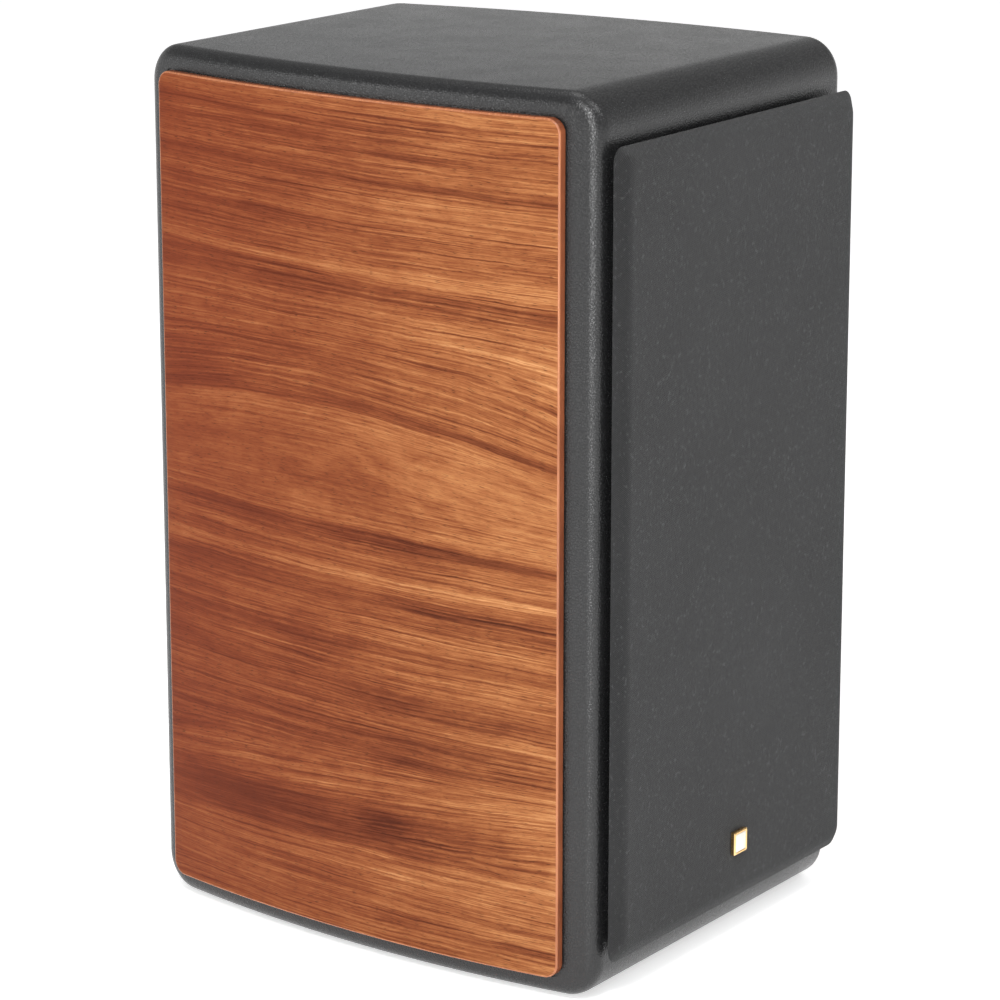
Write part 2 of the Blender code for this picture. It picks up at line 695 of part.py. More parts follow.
def grille(mats):
    rear = FRONT_Y - GRILLE_STANDOFF
    cloth = grille_block("grille_cloth", 0.0, mats["cloth"])
    cut(cloth, grille_block("cloth_inside", CLOTH))
    frame = grille_block("grille_frame", CLOTH + GAP, mats["black_plastic"])
    half_x, half_z = GRILLE_WIDTH / 2 - FRAME_BAR, GRILLE_HEIGHT / 2 - FRAME_BAR
    windows = {
        "lower_window": (GRILLE_CENTRE - half_z, CROSS_BAR_Z - CROSS_BAR_HALF),
        "upper_window": (CROSS_BAR_Z + CROSS_BAR_HALF, GRILLE_CENTRE + half_z),
    }
    for name, (z_low, z_high) in windows.items():
        cut(frame, box(name, (-half_x, rear - 0.03, z_low), (half_x, rear + 0.01, z_high)))

    peg = [(0, 6.5), (6.5, 6.5), (6.5, 0.3), (3.6, 0.3), (3.6, -10), (2.6, -11.5), (0, -11.5)]
    for number, (x, z) in enumerate(peg_places(), 1):
        turned(f"grille_peg_{number}", peg, (x, FRONT_Y, z), "front", mats["rubber"], steps=10, closed=False)

    face = rear - GRILLE_DEPTH - GAP
    half = BADGE_SIDE / 2
    low = (-half, face - BADGE_THICK, BADGE_Z - half)
    high = (half, face, BADGE_Z + half)
    box("grille_badge", low, high, mats["brass"])


def main():
    global parts, cutters
    clear_scene()
    parts = collection("bookshelf_speaker")
    cutters = collection("cutters")
    mats = make_materials()
    holes = board_holes()
    carcass(mats, holes)
    window_brace(mats)
    leatherette_wrap(mats, holes)
    walnut_panels(mats)
    feet(mats)
    damping_pad(mats)
    woofer(mats, holes)
    horn(mats, holes)
    reflex_port(mats)
    terminal_cup(mats)
    crossover(mats)
    grille(mats)


main()
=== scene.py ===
"""Looks of the bookshelf speaker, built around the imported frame.

Metres, +Z up, the grille faces -Y. Turned profiles are (radius, height) pairs in millimetres,
with the height measured from the cabinet's front or rear plane towards the viewer of that face.
"""

import math

import bmesh
import bpy
from mathutils import Matrix, Vector
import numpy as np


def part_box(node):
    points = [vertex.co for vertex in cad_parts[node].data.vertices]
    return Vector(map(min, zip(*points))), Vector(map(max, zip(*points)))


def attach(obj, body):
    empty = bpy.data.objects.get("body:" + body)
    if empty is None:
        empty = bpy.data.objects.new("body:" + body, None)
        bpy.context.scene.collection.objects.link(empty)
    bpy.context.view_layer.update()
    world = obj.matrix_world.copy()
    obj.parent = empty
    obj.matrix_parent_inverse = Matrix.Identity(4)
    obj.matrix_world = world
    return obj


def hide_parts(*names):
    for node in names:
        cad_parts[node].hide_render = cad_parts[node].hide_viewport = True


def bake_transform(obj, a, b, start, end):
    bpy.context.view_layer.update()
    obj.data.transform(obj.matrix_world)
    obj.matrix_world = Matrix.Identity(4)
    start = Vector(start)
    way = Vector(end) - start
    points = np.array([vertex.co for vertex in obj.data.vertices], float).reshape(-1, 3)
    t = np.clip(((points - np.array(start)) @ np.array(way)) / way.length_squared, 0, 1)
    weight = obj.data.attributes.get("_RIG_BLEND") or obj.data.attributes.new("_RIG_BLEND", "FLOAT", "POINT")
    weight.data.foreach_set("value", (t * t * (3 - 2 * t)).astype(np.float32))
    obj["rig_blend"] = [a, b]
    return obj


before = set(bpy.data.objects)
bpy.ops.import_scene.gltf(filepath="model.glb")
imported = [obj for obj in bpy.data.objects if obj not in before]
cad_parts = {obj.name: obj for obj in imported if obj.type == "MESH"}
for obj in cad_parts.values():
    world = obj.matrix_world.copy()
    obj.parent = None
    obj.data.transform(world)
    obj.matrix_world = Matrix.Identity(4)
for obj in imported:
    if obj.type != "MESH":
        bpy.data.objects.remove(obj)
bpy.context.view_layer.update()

# The cabinet's form, from the frame and the numbers that shape its sides and edges.
WRAP_LOW, WRAP_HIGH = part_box("leatherette_wrap")
FRONT_Y, REAR_Y = WRAP_LOW.y, WRAP_HIGH.y
BOTTOM, TOP = WRAP_LOW.z, WRAP_HIGH.z
MIDDLE_Y = (FRONT_Y + REAR_Y) / 2
MIDDLE_Z = (BOTTOM + TOP) / 2
HALF_DEPTH = (REAR_Y - FRONT_Y) / 2
HALF_WIDTH_MIDDLE = 0.1420
SIDE_BOW = 0.0166
SIDE_TAPER = 0.0092
CORNER_RADIUS = 0.023
EDGE_ROUND = 0.009
SKIN = 0.0012
GAP = 0.0003
PANELS = {-1: "left_walnut_panel", 1: "right_walnut_panel"}
PANEL_CORNER = 0.009
GROOVE_WIDTH = 0.0013
GROOVE_DEPTH = 0.0009
PEG_BORE = 0.0042
PORT_BORE = 0.0362
CUP_HOLE_X, CUP_HOLE_Z = 0.047, 0.032
SCREW_BORE = 0.0026
POST_BORE = 0.0034
PAST = 0.01  # how far a cutter passes the surface that it cuts
MM = 0.001

CAMERA_AT = Vector((-1.9739, -1.3665, 0.8837))
CAMERA_YAW = math.radians(-55.34)
CAMERA_PITCH = math.radians(14.64)
CAMERA_LENS = 143.4


def centre_of(node):
    low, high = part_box(node)
    return (low + high) / 2


# Node trees.


class Tree:
    """A material's node tree, with short calls for the nodes that it uses."""

    def __init__(self, name, roughness=0.5, metallic=0.0, **sockets):
        self.material = bpy.data.materials.new(name)
        self.material.use_nodes = True
        self.nodes = self.material.node_tree.nodes
        self.links = self.material.node_tree.links
        self.shader = self.nodes["Principled BSDF"]
        self.set("Roughness", roughness)
        self.set("Metallic", metallic)
        for socket, value in sockets.items():
            self.set(socket.replace("_", " ").title().replace("Ior", "IOR"), value)
        self.place = self.nodes.new("ShaderNodeTexCoord").outputs["Object"]

    def set(self, socket, value):
        if isinstance(value, bpy.types.NodeSocket):
            self.links.new(value, self.shader.inputs[socket])
        else:
            self.shader.inputs[socket].default_value = value

    def feed(self, node, socket, value):
        if isinstance(value, bpy.types.NodeSocket):
            self.links.new(value, node.inputs[socket])
        elif value is not None:
            node.inputs[socket].default_value = value

    def math(self, operation, first, second=None, third=None):
        node = self.nodes.new("ShaderNodeMath")
        node.operation = operation
        for index, value in enumerate((first, second, third)):
            self.feed(node, index, value)
        return node.outputs[0]

    def total(self, *values):
        result = values[0]
        for value in values[1:]:
            result = self.math("ADD", result, value)
        return result

    def split(self, vector):
        node = self.nodes.new("ShaderNodeSeparateXYZ")
        self.feed(node, 0, vector)
        return node.outputs[0], node.outputs[1], node.outputs[2]

    def join(self, x, y, z):
        node = self.nodes.new("ShaderNodeCombineXYZ")
        for index, value in enumerate((x, y, z)):
            self.feed(node, index, value)
        return node.outputs[0]

    def stretched(self, scale, vector=None, offset=(0, 0, 0)):
        node = self.nodes.new("ShaderNodeMapping")
        self.feed(node, "Vector", vector or self.place)
        node.inputs["Location"].default_value = offset
        node.inputs["Scale"].default_value = scale
        return node.outputs[0]

    def noise(self, vector, scale=1.0, detail=2.0, roughness=0.5, distortion=0.0):
        node = self.nodes.new("ShaderNodeTexNoise")
        self.feed(node, "Vector", vector)
        node.inputs["Scale"].default_value = scale
        node.inputs["Detail"].default_value = detail
        node.inputs["Roughness"].default_value = roughness
        node.inputs["Distortion"].default_value = distortion
        return node.outputs[0]

    def cells(self, vector, scale, feature):
        node = self.nodes.new("ShaderNodeTexVoronoi")
        node.feature = feature
        self.feed(node, "Vector", vector)
        node.inputs["Scale"].default_value = scale
        return node.outputs["Distance"]

    def ramp(self, value, stops):
        """A colour ramp of (position, colour or grey) stops."""
        node = self.nodes.new("ShaderNodeValToRGB")
        elements = node.color_ramp.elements
        while len(elements) < len(stops):
            elements.new(1.0)
        for element, (position, colour) in zip(elements, stops):
            element.position = position
            colour = (colour,) * 3 if isinstance(colour, (int, float)) else colour
            element.color = (*colour, 1.0)
        self.feed(node, "Fac", value)
        return node.outputs[0]

    def range(self, value, low, high, to_low=0.0, to_high=1.0):
        node = self.nodes.new("ShaderNodeMapRange")
        for socket, number in zip(("Value", "From Min", "From Max", "To Min", "To Max"),
                                  (value, low, high, to_low, to_high)):
            self.feed(node, socket, number)
        return node.outputs[0]

    def mix(self, amount, first, second, blend="MIX"):
        node = self.nodes.new("ShaderNodeMix")
        node.data_type = "RGBA"
        node.blend_type = blend
        self.feed(node, "Factor", amount)
        for socket, value in ((node.inputs[6], first), (node.inputs[7], second)):
            if isinstance(value, bpy.types.NodeSocket):
                self.links.new(value, socket)
            else:
                socket.default_value = (*value, 1.0)
        return node.outputs[2]

    def bump(self, height, distance, strength=1.0):
        node = self.nodes.new("ShaderNodeBump")
        node.inputs["Strength"].default_value = strength
        node.inputs["Distance"].default_value = distance
        self.feed(node, "Height", height)
        self.links.new(node.outputs[0], self.shader.inputs["Normal"])


# Materials.


def leatherette():
    """Embossed vinyl: small irregular pebbles with soft valleys, worn to a slight sheen."""
    t = Tree("leatherette_grain", roughness=0.4, specular_ior_level=0.5)
    warp = t.noise(t.stretched((260, 260, 260)), detail=2)
    wobble = t.nodes.new("ShaderNodeVectorMath")
    wobble.operation = "ADD"
    t.feed(wobble, 0, t.place)
    t.feed(wobble, 1, t.join(*[t.math("MULTIPLY", t.math("SUBTRACT", warp, 0.5), 0.0014)] * 3))
    pebble = t.cells(wobble.outputs[0], 560, "SMOOTH_F1")
    vein = t.cells(wobble.outputs[0], 560, "DISTANCE_TO_EDGE")
    valley = t.range(vein, 0.0, 0.25)
    fine = t.noise(t.stretched((2100, 2100, 2100)), detail=3, roughness=0.6)
    height = t.total(t.math("MULTIPLY", valley, 0.8), t.math("MULTIPLY", pebble, -0.45),
                     t.math("MULTIPLY", fine, 0.12))
    t.bump(height, 0.00022, 0.42)
    tone = t.noise(t.stretched((14, 14, 14)), detail=3)
    shade = t.mix(t.range(tone, 0.3, 0.7), (0.015, 0.0153, 0.0158), (0.021, 0.0213, 0.0218))
    # Painted shade: the valleys between the pebbles are coloured darker.
    t.set("Base Color", t.mix(valley, (0.008, 0.008, 0.0085), shade))
    worn = t.noise(t.stretched((38, 38, 38)), detail=4)
    sheen = t.range(worn, 0.3, 0.7, 0.285, 0.325)
    t.set("Roughness", t.math("ADD", sheen, t.math("MULTIPLY", valley, -0.05)))
    return t.material


def walnut(name, seed):
    """Crown-cut walnut veneer, its grain running from the rear to the front."""
    t = Tree(name, roughness=0.36, specular_ior_level=0.05)
    _, y, z = t.split(t.place)
    along = t.math("MULTIPLY_ADD", y, -1.0, MIDDLE_Y)
    height = t.math("DIVIDE", t.math("SUBTRACT", z, BOTTOM), TOP - BOTTOM)

    def bell(value, centre, width):
        offset = t.math("DIVIDE", t.math("SUBTRACT", value, centre), width)
        return t.math("EXPONENT", t.math("MULTIPLY", t.math("MULTIPLY", offset, offset), -1.0))

    def noise_at(run, across, value, offset, detail, roughness=0.6, distortion=0.0):
        """Noise about zero, with its run along the grain and its pitch across it set apart."""
        vector = t.join(t.math("MULTIPLY", along, run), t.math("MULTIPLY", value, across), seed + offset)
        return t.math("SUBTRACT", t.noise(vector, 1.0, detail, roughness, distortion), 0.5)

    def part(share, value):
        return t.math("MULTIPLY", value, share)

    # The rings slope gently, arch over the crown in the middle and rise again low down.
    from_crown = t.math("ADD", along, 0.035)
    arch = t.math("MULTIPLY", from_crown, from_crown)
    figure = t.total(
        height,
        part(0.026, along),
        t.math("MULTIPLY", part(1.25, arch), bell(height, 0.615, 0.085)),
        t.math("MULTIPLY", part(-0.16, along), bell(height, 0.185, 0.045)),
        part(0.016, noise_at(3.0, 5.0, height, 0, 2)),
        part(0.0065, noise_at(15.0, 30.0, height, 3, 3)),
    )

    # How light the wood is at each height, below and above the crown.
    lower = t.ramp(figure, [
        (0.000, 0.52), (0.045, 0.58), (0.052, 0.40), (0.060, 0.60), (0.085, 0.48), (0.100, 0.62),
        (0.121, 0.60), (0.128, 0.40), (0.150, 0.40), (0.176, 0.44), (0.190, 0.58), (0.215, 0.60),
        (0.240, 0.38), (0.262, 0.34), (0.290, 0.48), (0.311, 0.30), (0.330, 0.46), (0.352, 0.50),
        (0.362, 0.26), (0.371, 0.50), (0.395, 0.56), (0.415, 0.34), (0.428, 0.32), (0.440, 0.72),
        (0.449, 0.74), (0.455, 0.36), (0.466, 0.56), (0.478, 0.50), (0.487, 0.26), (0.494, 0.24),
        (0.500, 0.64), (0.520, 0.66),
    ])
    upper = t.ramp(figure, [
        (0.520, 0.50), (0.565, 0.56), (0.628, 0.52), (0.636, 0.08), (0.640, 0.12), (0.648, 0.36),
        (0.680, 0.34), (0.712, 0.36), (0.722, 0.50), (0.731, 0.34), (0.738, 0.52), (0.747, 0.36),
        (0.757, 0.18), (0.768, 0.16), (0.778, 0.32), (0.784, 0.58), (0.789, 0.56), (0.797, 0.36),
        (0.820, 0.34), (0.834, 0.18), (0.846, 0.36), (0.872, 0.42), (0.883, 0.32), (0.887, 0.04),
        (0.893, 0.28), (0.905, 0.40), (0.925, 0.26), (0.948, 0.30), (0.960, 0.46), (1.000, 0.46),
    ])
    bands = t.math("SUBTRACT", t.total(lower, upper), 1.08)
    swell = t.math("ADD", part(1.6, noise_at(7.0, 16.0, figure, 71, 2)), 1.0)
    crown = bell(height, 0.56, 0.05)
    calm = t.math("SUBTRACT", 1.0, part(0.72, crown))
    lines = noise_at(4.5, 150, figure, 23, 4, 0.65)
    fine_lines = noise_at(11.0, 480, figure, 37, 3, 0.6)
    veins = t.range(noise_at(6.0, 300, figure, 43, 2), 0.06, 0.17)
    flecks = noise_at(85.0, 520, figure, 47, 3, 0.7)
    mottle = noise_at(48.0, 60, figure, 13, 4, 0.65, 0.6)
    patches = noise_at(9.0, 8.0, height, 5, 3)
    heart = t.math("MULTIPLY", bell(along, -0.075, 0.085), bell(height, 0.156, 0.024))
    knot = t.math("MULTIPLY", bell(along, 0.028, 0.020), bell(height, 0.160, 0.020))
    swirl = t.math("MULTIPLY", crown, noise_at(16.0, 24.0, figure, 61, 3, 0.55, 1.6))
    tone = t.total(
        0.50,
        t.math("MULTIPLY", part(0.76, bands), swell),
        t.math("MULTIPLY", part(0.74, lines), calm),
        t.math("MULTIPLY", part(0.95, fine_lines), calm),
        t.math("MULTIPLY", part(-0.24, veins), calm),
        part(0.45, flecks),
        part(0.30, mottle),
        part(0.42, patches),
        part(0.50, swirl),
        part(-0.30, heart),
        part(-0.26, knot),
        # Painted light: the veneer is made lighter towards the front of the cabinet, following how the light
        # falls on the bowed panel.
        part(0.62, along),
        t.range(along, 0.02, 0.16, 0.0, 0.07),
        part(-0.11, crown),
    )
    colour = t.ramp(tone, [
        (0.00, (0.046, 0.012, 0.006)),
        (0.20, (0.106, 0.027, 0.011)),
        (0.38, (0.172, 0.050, 0.018)),
        (0.52, (0.242, 0.080, 0.028)),
        (0.70, (0.345, 0.136, 0.050)),
        (0.95, (0.520, 0.250, 0.105)),
    ])
    # Painted shade: towards the rear the colour is mixed towards a darker red.
    colour_shaded_to_rear = t.mix(t.range(along, 0.10, -0.16, 0.0, 0.48), colour, (0.20, 0.036, 0.012))
    dashes = t.noise(t.join(part(170, along), part(1050, figure), seed + 51), detail=1)
    pores = t.range(dashes, 0.62, 0.72)
    t.set("Base Color", t.mix(part(0.62, pores), colour_shaded_to_rear, (0.026, 0.007, 0.004)))
    t.set("Roughness", t.range(lines, -0.2, 0.2, 0.40, 0.32))
    t.bump(t.total(part(-1.0, pores), part(0.5, fine_lines)), 0.00006, 0.55)
    return t.material


def walnut_edge(name, dark, light):
    """The thin solid edge of the veneered panel, its grain running along the rim."""
    t = Tree(name, roughness=0.27, specular_ior_level=0.45)
    grain = t.noise(t.stretched((40, 900, 12)), detail=4, roughness=0.65)
    cloud = t.noise(t.stretched((30, 30, 30)), detail=3)
    tone = t.math("ADD", t.math("MULTIPLY", grain, 0.7), t.math("MULTIPLY", cloud, 0.3))
    t.set("Base Color", t.ramp(tone, [(0.3, dark), (0.7, light)]))
    t.bump(grain, 0.00004, 0.5)
    return t.material


def grille_fabric():
    """Plain-woven acoustic cloth: threads about 0.6 mm apart, with slightly uneven yarn."""
    t = Tree("grille_weave", roughness=0.9, specular_ior_level=0.2, sheen_weight=0.12, sheen_roughness=0.45)
    x, _, z = t.split(t.place)
    pitch = math.tau / 0.00125
    uneven = t.math("MULTIPLY", t.noise(t.stretched((160, 160, 160)), detail=3), 3.0)
    warp = t.math("SINE", t.math("MULTIPLY_ADD", x, pitch, uneven))
    weft = t.math("SINE", t.math("MULTIPLY_ADD", z, pitch, uneven))
    over = t.math("MULTIPLY", warp, weft)
    slub = t.noise(t.stretched((560, 560, 560)), detail=4, roughness=0.75)
    height = t.total(t.math("MULTIPLY", over, 0.6), t.math("MULTIPLY", slub, 1.2))
    t.bump(height, 0.0003, 0.9)
    flecks = t.range(t.noise(t.stretched((420, 900, 420)), detail=2), 0.60, 0.72)
    cloud = t.noise(t.stretched((9, 9, 9)), detail=3)
    tone = t.total(t.range(over, -1, 1, 0.0, 0.30), t.math("MULTIPLY", slub, 0.45),
                   t.math("MULTIPLY", flecks, 0.50), t.math("MULTIPLY", t.math("SUBTRACT", cloud, 0.5), 0.25))
    t.set("Base Color", t.ramp(tone, [(0.10, (0.0075, 0.0076, 0.0078)), (0.95, (0.051, 0.0518, 0.053))]))
    return t.material


def moulded_plastic(name="moulded_plastic", colour=(0.018, 0.018, 0.019), roughness=0.42):
    t = Tree(name, roughness=roughness)
    spark = t.noise(t.stretched((2600, 2600, 2600)), detail=2)
    flow = t.noise(t.stretched((30, 30, 30)), detail=3)
    t.bump(spark, 0.00006, 0.6)
    light = tuple(c * 1.35 for c in colour)
    t.set("Base Color", t.mix(t.range(flow, 0.3, 0.7), colour, light))
    t.set("Roughness", t.range(flow, 0.3, 0.7, roughness - 0.05, roughness + 0.06))
    return t.material


def rubber():
    t = Tree("moulded_rubber", roughness=0.7, specular_ior_level=0.35)
    dust = t.noise(t.stretched((70, 70, 70)), detail=5, roughness=0.7)
    grain = t.noise(t.stretched((2200, 2200, 2200)), detail=2)
    t.bump(grain, 0.00008, 0.5)
    t.set("Base Color", t.mix(t.range(dust, 0.45, 0.75), (0.014, 0.014, 0.014), (0.036, 0.035, 0.034)))
    t.set("Roughness", t.range(dust, 0.35, 0.7, 0.62, 0.80))
    return t.material


def metal(name, dark, light, roughness, metallic=1.0, brushed=(900, 900, 60)):
    """A plated or machined metal with fine tool marks and a slightly uneven tone."""
    t = Tree(name, roughness=roughness, metallic=metallic)
    marks = t.noise(t.stretched(brushed), detail=3, roughness=0.6)
    stain = t.noise(t.stretched((60, 60, 60)), detail=3)
    t.bump(marks, 0.00003, 0.5)
    t.set("Base Color", t.mix(t.range(stain, 0.3, 0.7), dark, light))
    t.set("Roughness", t.range(marks, 0.3, 0.7, roughness - 0.06, roughness + 0.08))
    return t.material


def fibreboard():
    t = Tree("raw_fibreboard", roughness=0.85, specular_ior_level=0.2)
    fibre = t.noise(t.stretched((900, 900, 900)), detail=4, roughness=0.7)
    cloud = t.noise(t.stretched((25, 25, 25)), detail=3)
    t.bump(fibre, 0.0001, 0.5)
    tone = t.math("ADD", t.math("MULTIPLY", fibre, 0.6), t.math("MULTIPLY", cloud, 0.4))
    t.set("Base Color", t.ramp(tone, [(0.3, (0.24, 0.15, 0.085)), (0.7, (0.44, 0.31, 0.19))]))
    return t.material


def paper_pulp():
    t = Tree("pulp_cone", roughness=0.85, specular_ior_level=0.25)
    fibre = t.noise(t.stretched((1200, 1200, 1200)), detail=4, roughness=0.75, distortion=1.5)
    t.bump(fibre, 0.00012, 0.7)
    t.set("Base Color", t.ramp(fibre, [(0.3, (0.016, 0.016, 0.017)), (0.75, (0.055, 0.054, 0.053))]))
    return t.material


def woven(name, dark, light, pitch=0.0011):
    """A coarse woven or felted textile for hidden soft pieces."""
    t = Tree(name, roughness=0.95, specular_ior_level=0.15, sheen_weight=0.2)
    x, y, z = t.split(t.place)
    step = math.tau / pitch
    over = t.math("MULTIPLY", t.math("SINE", t.math("MULTIPLY", t.math("ADD", x, y), step)),
                  t.math("SINE", t.math("MULTIPLY", z, step)))
    fuzz = t.noise(t.stretched((700, 700, 700)), detail=4, roughness=0.7)
    t.bump(t.math("ADD", t.math("MULTIPLY", over, 0.4), fuzz), 0.0003, 0.7)
    t.set("Base Color", t.mix(t.range(fuzz, 0.3, 0.7), dark, light))
    return t.material


def wound_copper():
    """Enamelled wire laid in close turns."""
    t = Tree("enamelled_copper", roughness=0.3, metallic=0.9)
    _, _, z = t.split(t.place)
    turns = t.math("SINE", t.math("MULTIPLY", z, math.tau / 0.0009))
    stain = t.noise(t.stretched((120, 120, 120)), detail=3)
    t.bump(turns, 0.0003, 0.9)
    t.set("Base Color", t.mix(t.range(stain, 0.3, 0.7), (0.42, 0.12, 0.045), (0.68, 0.26, 0.11)))
    t.set("Roughness", t.range(stain, 0.3, 0.7, 0.26, 0.38))
    return t.material


def solder_mask():
    t = Tree("solder_mask", roughness=0.35)
    x, y, _ = t.split(t.place)
    tracks = t.cells(t.join(x, y, 0.0), 120, "DISTANCE_TO_EDGE")
    edge = t.range(tracks, 0.03, 0.06)
    t.bump(edge, 0.00005, 0.8)
    t.set("Base Color", t.mix(edge, (0.055, 0.19, 0.07), (0.018, 0.085, 0.035)))
    return t.material


MATERIALS = {
    "leather": leatherette(),
    "walnut_left": walnut("walnut_left", 2.0),
    "walnut_right": walnut("walnut_right", 7.0),
    "walnut_edge": walnut_edge("walnut_edge", (0.130, 0.032, 0.014), (0.340, 0.105, 0.042)),
    # A lighter copy of the edge finish for the eased rims: a painted highlight.
    "walnut_ease_painted_highlight": walnut_edge("walnut_ease_painted_highlight", (0.240, 0.072, 0.030), (0.520, 0.200, 0.085)),
    "cloth": grille_fabric(),
    "plastic": moulded_plastic(),
    "gloss": moulded_plastic("gloss_plastic", (0.012, 0.012, 0.013), 0.22),
    "red": moulded_plastic("red_plastic", (0.38, 0.012, 0.010), 0.35),
    "rubber": rubber(),
    "gold": metal("gold_plate_bright", (0.80, 0.50, 0.20), (0.95, 0.68, 0.33), 0.24),
    "pale": metal("badge_face", (0.80, 0.76, 0.68), (0.90, 0.87, 0.80), 0.38, 0.85, (300, 300, 300)),
    "steel": metal("zinc_plate", (0.42, 0.42, 0.40), (0.60, 0.60, 0.58), 0.36),
    "cast": metal("coated_casting", (0.028, 0.028, 0.030), (0.045, 0.045, 0.047), 0.48, 0.3,
                  (700, 700, 700)),
    "titanium": metal("titanium_foil", (0.52, 0.52, 0.55), (0.66, 0.66, 0.68), 0.28),
    "ferrite": metal("ground_ferrite", (0.040, 0.040, 0.043), (0.070, 0.070, 0.074), 0.55, 0.1,
                     (500, 500, 500)),
    "screw": metal("black_zinc", (0.020, 0.020, 0.021), (0.050, 0.050, 0.052), 0.34, 0.8),
    "board": fibreboard(),
    "paper": paper_pulp(),
    "felt": woven("polyester_felt", (0.36, 0.36, 0.34), (0.60, 0.60, 0.57), 0.004),
    "spider": woven("resin_cotton", (0.42, 0.24, 0.06), (0.70, 0.46, 0.16)),
    "copper": wound_copper(),
    "circuit": solder_mask(),
    "film": moulded_plastic("film_wrap", (0.48, 0.13, 0.015), 0.32),
}


# Modelling helpers.


def new_piece(name, bm, finish, body, smooth=38, replaces=()):
    """A finished piece: its mesh, its material, the body that it rides on and the node that it stands for."""
    bmesh.ops.recalc_face_normals(bm, faces=bm.faces)
    mesh = bpy.data.meshes.new(name)
    bm.to_mesh(mesh)
    bm.free()
    made = bpy.data.objects.new(name, mesh)
    bpy.context.scene.collection.objects.link(made)
    mesh.materials.append(MATERIALS[finish])
    mesh.shade_smooth()
    mesh.set_sharp_from_angle(angle=math.radians(smooth))
    if body:
        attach(made, body)
    for node in replaces:
        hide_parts(node)
    return made


def mesh_only(bm):
    """A loose object that is only used as a cutter."""
    bmesh.ops.recalc_face_normals(bm, faces=bm.faces)
    mesh = bpy.data.meshes.new("cutter")
    bm.to_mesh(mesh)
    bm.free()
    made = bpy.data.objects.new("cutter", mesh)
    bpy.context.scene.collection.objects.link(made)
    return made


def carve(bm, *cutters):
    """The bmesh with each cutter's solid taken away."""
    target = mesh_only(bm)
    for cutter in cutters:
        step = target.modifiers.new("carve", "BOOLEAN")
        step.operation = "DIFFERENCE"
        step.solver = "EXACT"
        step.object = cutter
    graph = bpy.context.evaluated_depsgraph_get()
    carved = bmesh.new()
    carved.from_object(target, graph)
    for thing in (target, *cutters):
        bpy.data.objects.remove(thing)
    return carved


def box_mesh(low, high):
    bm = bmesh.new()
    bmesh.ops.create_cube(bm, size=1.0)
    bmesh.ops.scale(bm, vec=[h - l for l, h in zip(low, high)], verts=bm.verts)
    bmesh.ops.translate(bm, vec=[(h + l) / 2 for l, h in zip(low, high)], verts=bm.verts)
    return bm


def rod_mesh(radius, y_low, y_high, centres, sides=48):
    bm = bmesh.new()
    for x, z in centres:
        place = Matrix.Translation((x, (y_low + y_high) / 2, z)) @ Matrix.Rotation(math.pi / 2, 4, "X")
        bmesh.ops.create_cone(bm, cap_ends=True, segments=sides, radius1=radius, radius2=radius,
                              depth=y_high - y_low, matrix=place)
    return bm


def arc(centre_r, centre_h, radius, start, end, steps):
    """Profile points on a circular arc, angles in degrees from the outward radius."""
    angles = [math.radians(start + (end - start) * k / steps) for k in range(steps + 1)]
    return [(centre_r + radius * math.cos(a), centre_h + radius * math.sin(a)) for a in angles]


FACING = {
    "front": Matrix.Rotation(math.pi / 2, 4, "X"),
    "rear": Matrix.Rotation(-math.pi / 2, 4, "X"),
    "up": Matrix.Identity(4),
}


def turned_mesh(profile, at, facing, steps=72, ripple=None):
    """A profile turned about its axis. A ripple changes the radius at an angle and height, as flutes do."""
    bm = bmesh.new()
    rings = []
    for radius, height in profile:
        if radius < 1e-6:
            rings.append([bm.verts.new((0, 0, height * MM))])
            continue
        ring = []
        for k in range(steps):
            a = math.tau * k / steps
            r = radius + (ripple(a, radius, height) if ripple else 0.0)
            ring.append(bm.verts.new((r * MM * math.cos(a), r * MM * math.sin(a), height * MM)))
        rings.append(ring)
    closed = profile[0][0] > 1e-6
    pairs = list(zip(rings, rings[1:])) + ([(rings[-1], rings[0])] if closed else [])
    for first, second in pairs:
        for k in range(steps):
            j = (k + 1) % steps
            corners = [first[k % len(first)], first[j % len(first)]]
            corners += [second[j % len(second)], second[k % len(second)]]
            unique = list(dict.fromkeys(corners))
            if len(unique) > 2:
                bm.faces.new(unique)
    bm.transform(Matrix.Translation(at) @ FACING[facing])
    return bm


def turned(name, profile, at, facing, finish, body, steps=72, ripple=None, replaces=(), smooth=38):
    bm = turned_mesh(profile, at, facing, steps, ripple)
    return new_piece(name, bm, finish, body, smooth, replaces)


# Cabinet.


def half_width(y):
    t = (y - MIDDLE_Y) / HALF_DEPTH
    return HALF_WIDTH_MIDDLE - SIDE_BOW * t * t - SIDE_TAPER * t


def upper_chain(y_low, y_high, z_middle, z_high, radius, corner_steps, run_steps):
    """(y, height above the middle) along the upper half of a rounded rectangle, front to rear."""
    top = z_high - z_middle
    chain = []
    for k in range(corner_steps + 1):
        a = math.pi - math.pi / 2 * k / corner_steps
        chain.append((y_low + radius + radius * math.cos(a), top - radius + radius * math.sin(a)))
    for k in range(1, run_steps):
        chain.append((y_low + radius + (y_high - y_low - 2 * radius) * k / run_steps, top))
    for k in range(corner_steps + 1):
        a = math.pi / 2 - math.pi / 2 * k / corner_steps
        chain.append((y_high - radius + radius * math.cos(a), top - radius + radius * math.sin(a)))
    return chain


def side_ring(bm, side, chain, z_middle, proud):
    """A closed ring of points on one cheek, standing proud of the bowed side."""
    outline = chain + [(y, -z) for y, z in reversed(chain)]
    return [bm.verts.new((side * (half_width(y) + proud), y, z_middle + z)) for y, z in outline]


def bridge(bm, first, second):
    """The faces between two rings of as many points."""
    count = len(first)
    faces = []
    for i in range(count):
        j = (i + 1) % count
        faces.append(bm.faces.new((first[i], first[j], second[j], second[i])))
    return faces


def loft(bm, rings):
    for first, second in zip(rings, rings[1:]):
        bridge(bm, first, second)


def cap(bm, ring):
    """Closes a ring with strips from its upper half to its lower half."""
    count = len(ring)
    for i in range(count // 2 - 1):
        bm.faces.new((ring[i], ring[i + 1], ring[count - 2 - i], ring[count - 1 - i]))


